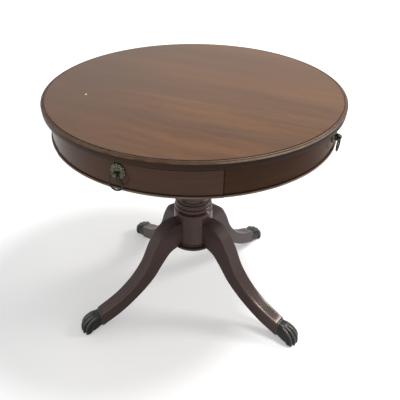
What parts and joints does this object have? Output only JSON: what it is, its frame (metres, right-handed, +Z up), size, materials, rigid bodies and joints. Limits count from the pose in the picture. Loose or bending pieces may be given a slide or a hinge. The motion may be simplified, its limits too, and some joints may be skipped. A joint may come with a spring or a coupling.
{
  "type": "drum table",
  "caption": "Round revolving drum table with a curved-front drawer, lion mask ring pulls and a turned pillar on splayed legs with paw feet.",
  "frame": {"origin": "on the floor under the pillar's axis", "axes": "+Z up, -Y towards the side that the drawer opens to, +X to the right seen from there"},
  "size_m": [0.769, 0.7702, 0.695],
  "materials": {
    "top_mahogany": "satin polish",
    "frieze_mahogany": "satin polish",
    "dark_mahogany": "satin polish",
    "inner_wood": "bare",
    "dark_brass": "dark patina",
    "pull_brass": "dark patina",
    "iron": "rough",
    "leather": "matte"
  },
  "bodies": {
    "pedestal": {"pillar": "dark_mahogany", "bearer": "inner_wood", "bearer_screws": "iron", "bearing_ring": "leather", "pivot_spindle": "iron", "pivot_washer": "iron", "pivot_nut": "iron", "brace_plate": "iron", "brace_screws": "iron", "front_left_leg": "dark_mahogany", "front_right_leg": "dark_mahogany", "rear_right_leg": "dark_mahogany", "rear_left_leg": "dark_mahogany", "front_left_paw": "dark_brass", "front_right_paw": "dark_brass", "rear_right_paw": "dark_brass", "rear_left_paw": "dark_brass", "paw_pins": "dark_brass"},
    "drum": {"table_top": "top_mahogany", "frieze_right_front": "frieze_mahogany", "frieze_right_rear": "frieze_mahogany", "frieze_rear": "frieze_mahogany", "frieze_left_rear": "frieze_mahogany", "frieze_left_front": "frieze_mahogany", "drawer_rail": "frieze_mahogany", "drum_floor": "inner_wood", "pivot_bush": "dark_brass", "guide_left": "inner_wood", "guide_right": "inner_wood", "kicker_left": "inner_wood", "kicker_right": "inner_wood", "guide_screws": "iron", "kicker_screws": "iron", "drawer_stops": "inner_wood", "glue_blocks": "inner_wood", "lion_mask_right": "pull_brass", "lion_mask_rear": "pull_brass", "lion_mask_left": "pull_brass", "mask_bolts": "iron", "mask_nuts": "iron"},
    "drawer": {"drawer_front": "frieze_mahogany", "drawer_side_left": "inner_wood", "drawer_side_right": "inner_wood", "drawer_back": "inner_wood", "drawer_bottom": "inner_wood", "lion_mask_front": "pull_brass", "drawer_mask_bolt": "iron", "drawer_mask_nut": "iron"},
    "front_ring": {"ring_front": "pull_brass"},
    "right_ring": {"ring_right": "pull_brass"},
    "rear_ring": {"ring_rear": "pull_brass"},
    "left_ring": {"ring_left": "pull_brass"}
  },
  "joints": [
    {"name": "drum_turn", "type": "hinge", "parent": "pedestal", "child": "drum", "pos_m": [0, 0, 0.6015], "axis": [0, 0, 1], "continuous": true},
    {"name": "drawer_slide", "type": "slide", "parent": "drum", "child": "drawer", "axis": [0, -1, 0], "range_m": [-0.0012, 0.2]},
    {"name": "front_ring_swing", "type": "hinge", "parent": "drawer", "child": "front_ring", "pos_m": [0, -0.3792, 0.64], "axis": [-1, 0, 0], "range_deg": [-8, 100]},
    {"name": "right_ring_swing", "type": "hinge", "parent": "drum", "child": "right_ring", "pos_m": [0.378, 0, 0.64], "axis": [0, -1, 0], "range_deg": [-8, 100]},
    {"name": "rear_ring_swing", "type": "hinge", "parent": "drum", "child": "rear_ring", "pos_m": [0, 0.378, 0.64], "axis": [1, 0, 0], "range_deg": [-8, 100]},
    {"name": "left_ring_swing", "type": "hinge", "parent": "drum", "child": "left_ring", "pos_m": [-0.378, 0, 0.64], "axis": [0, 1, 0], "range_deg": [-8, 100]}
  ]
}
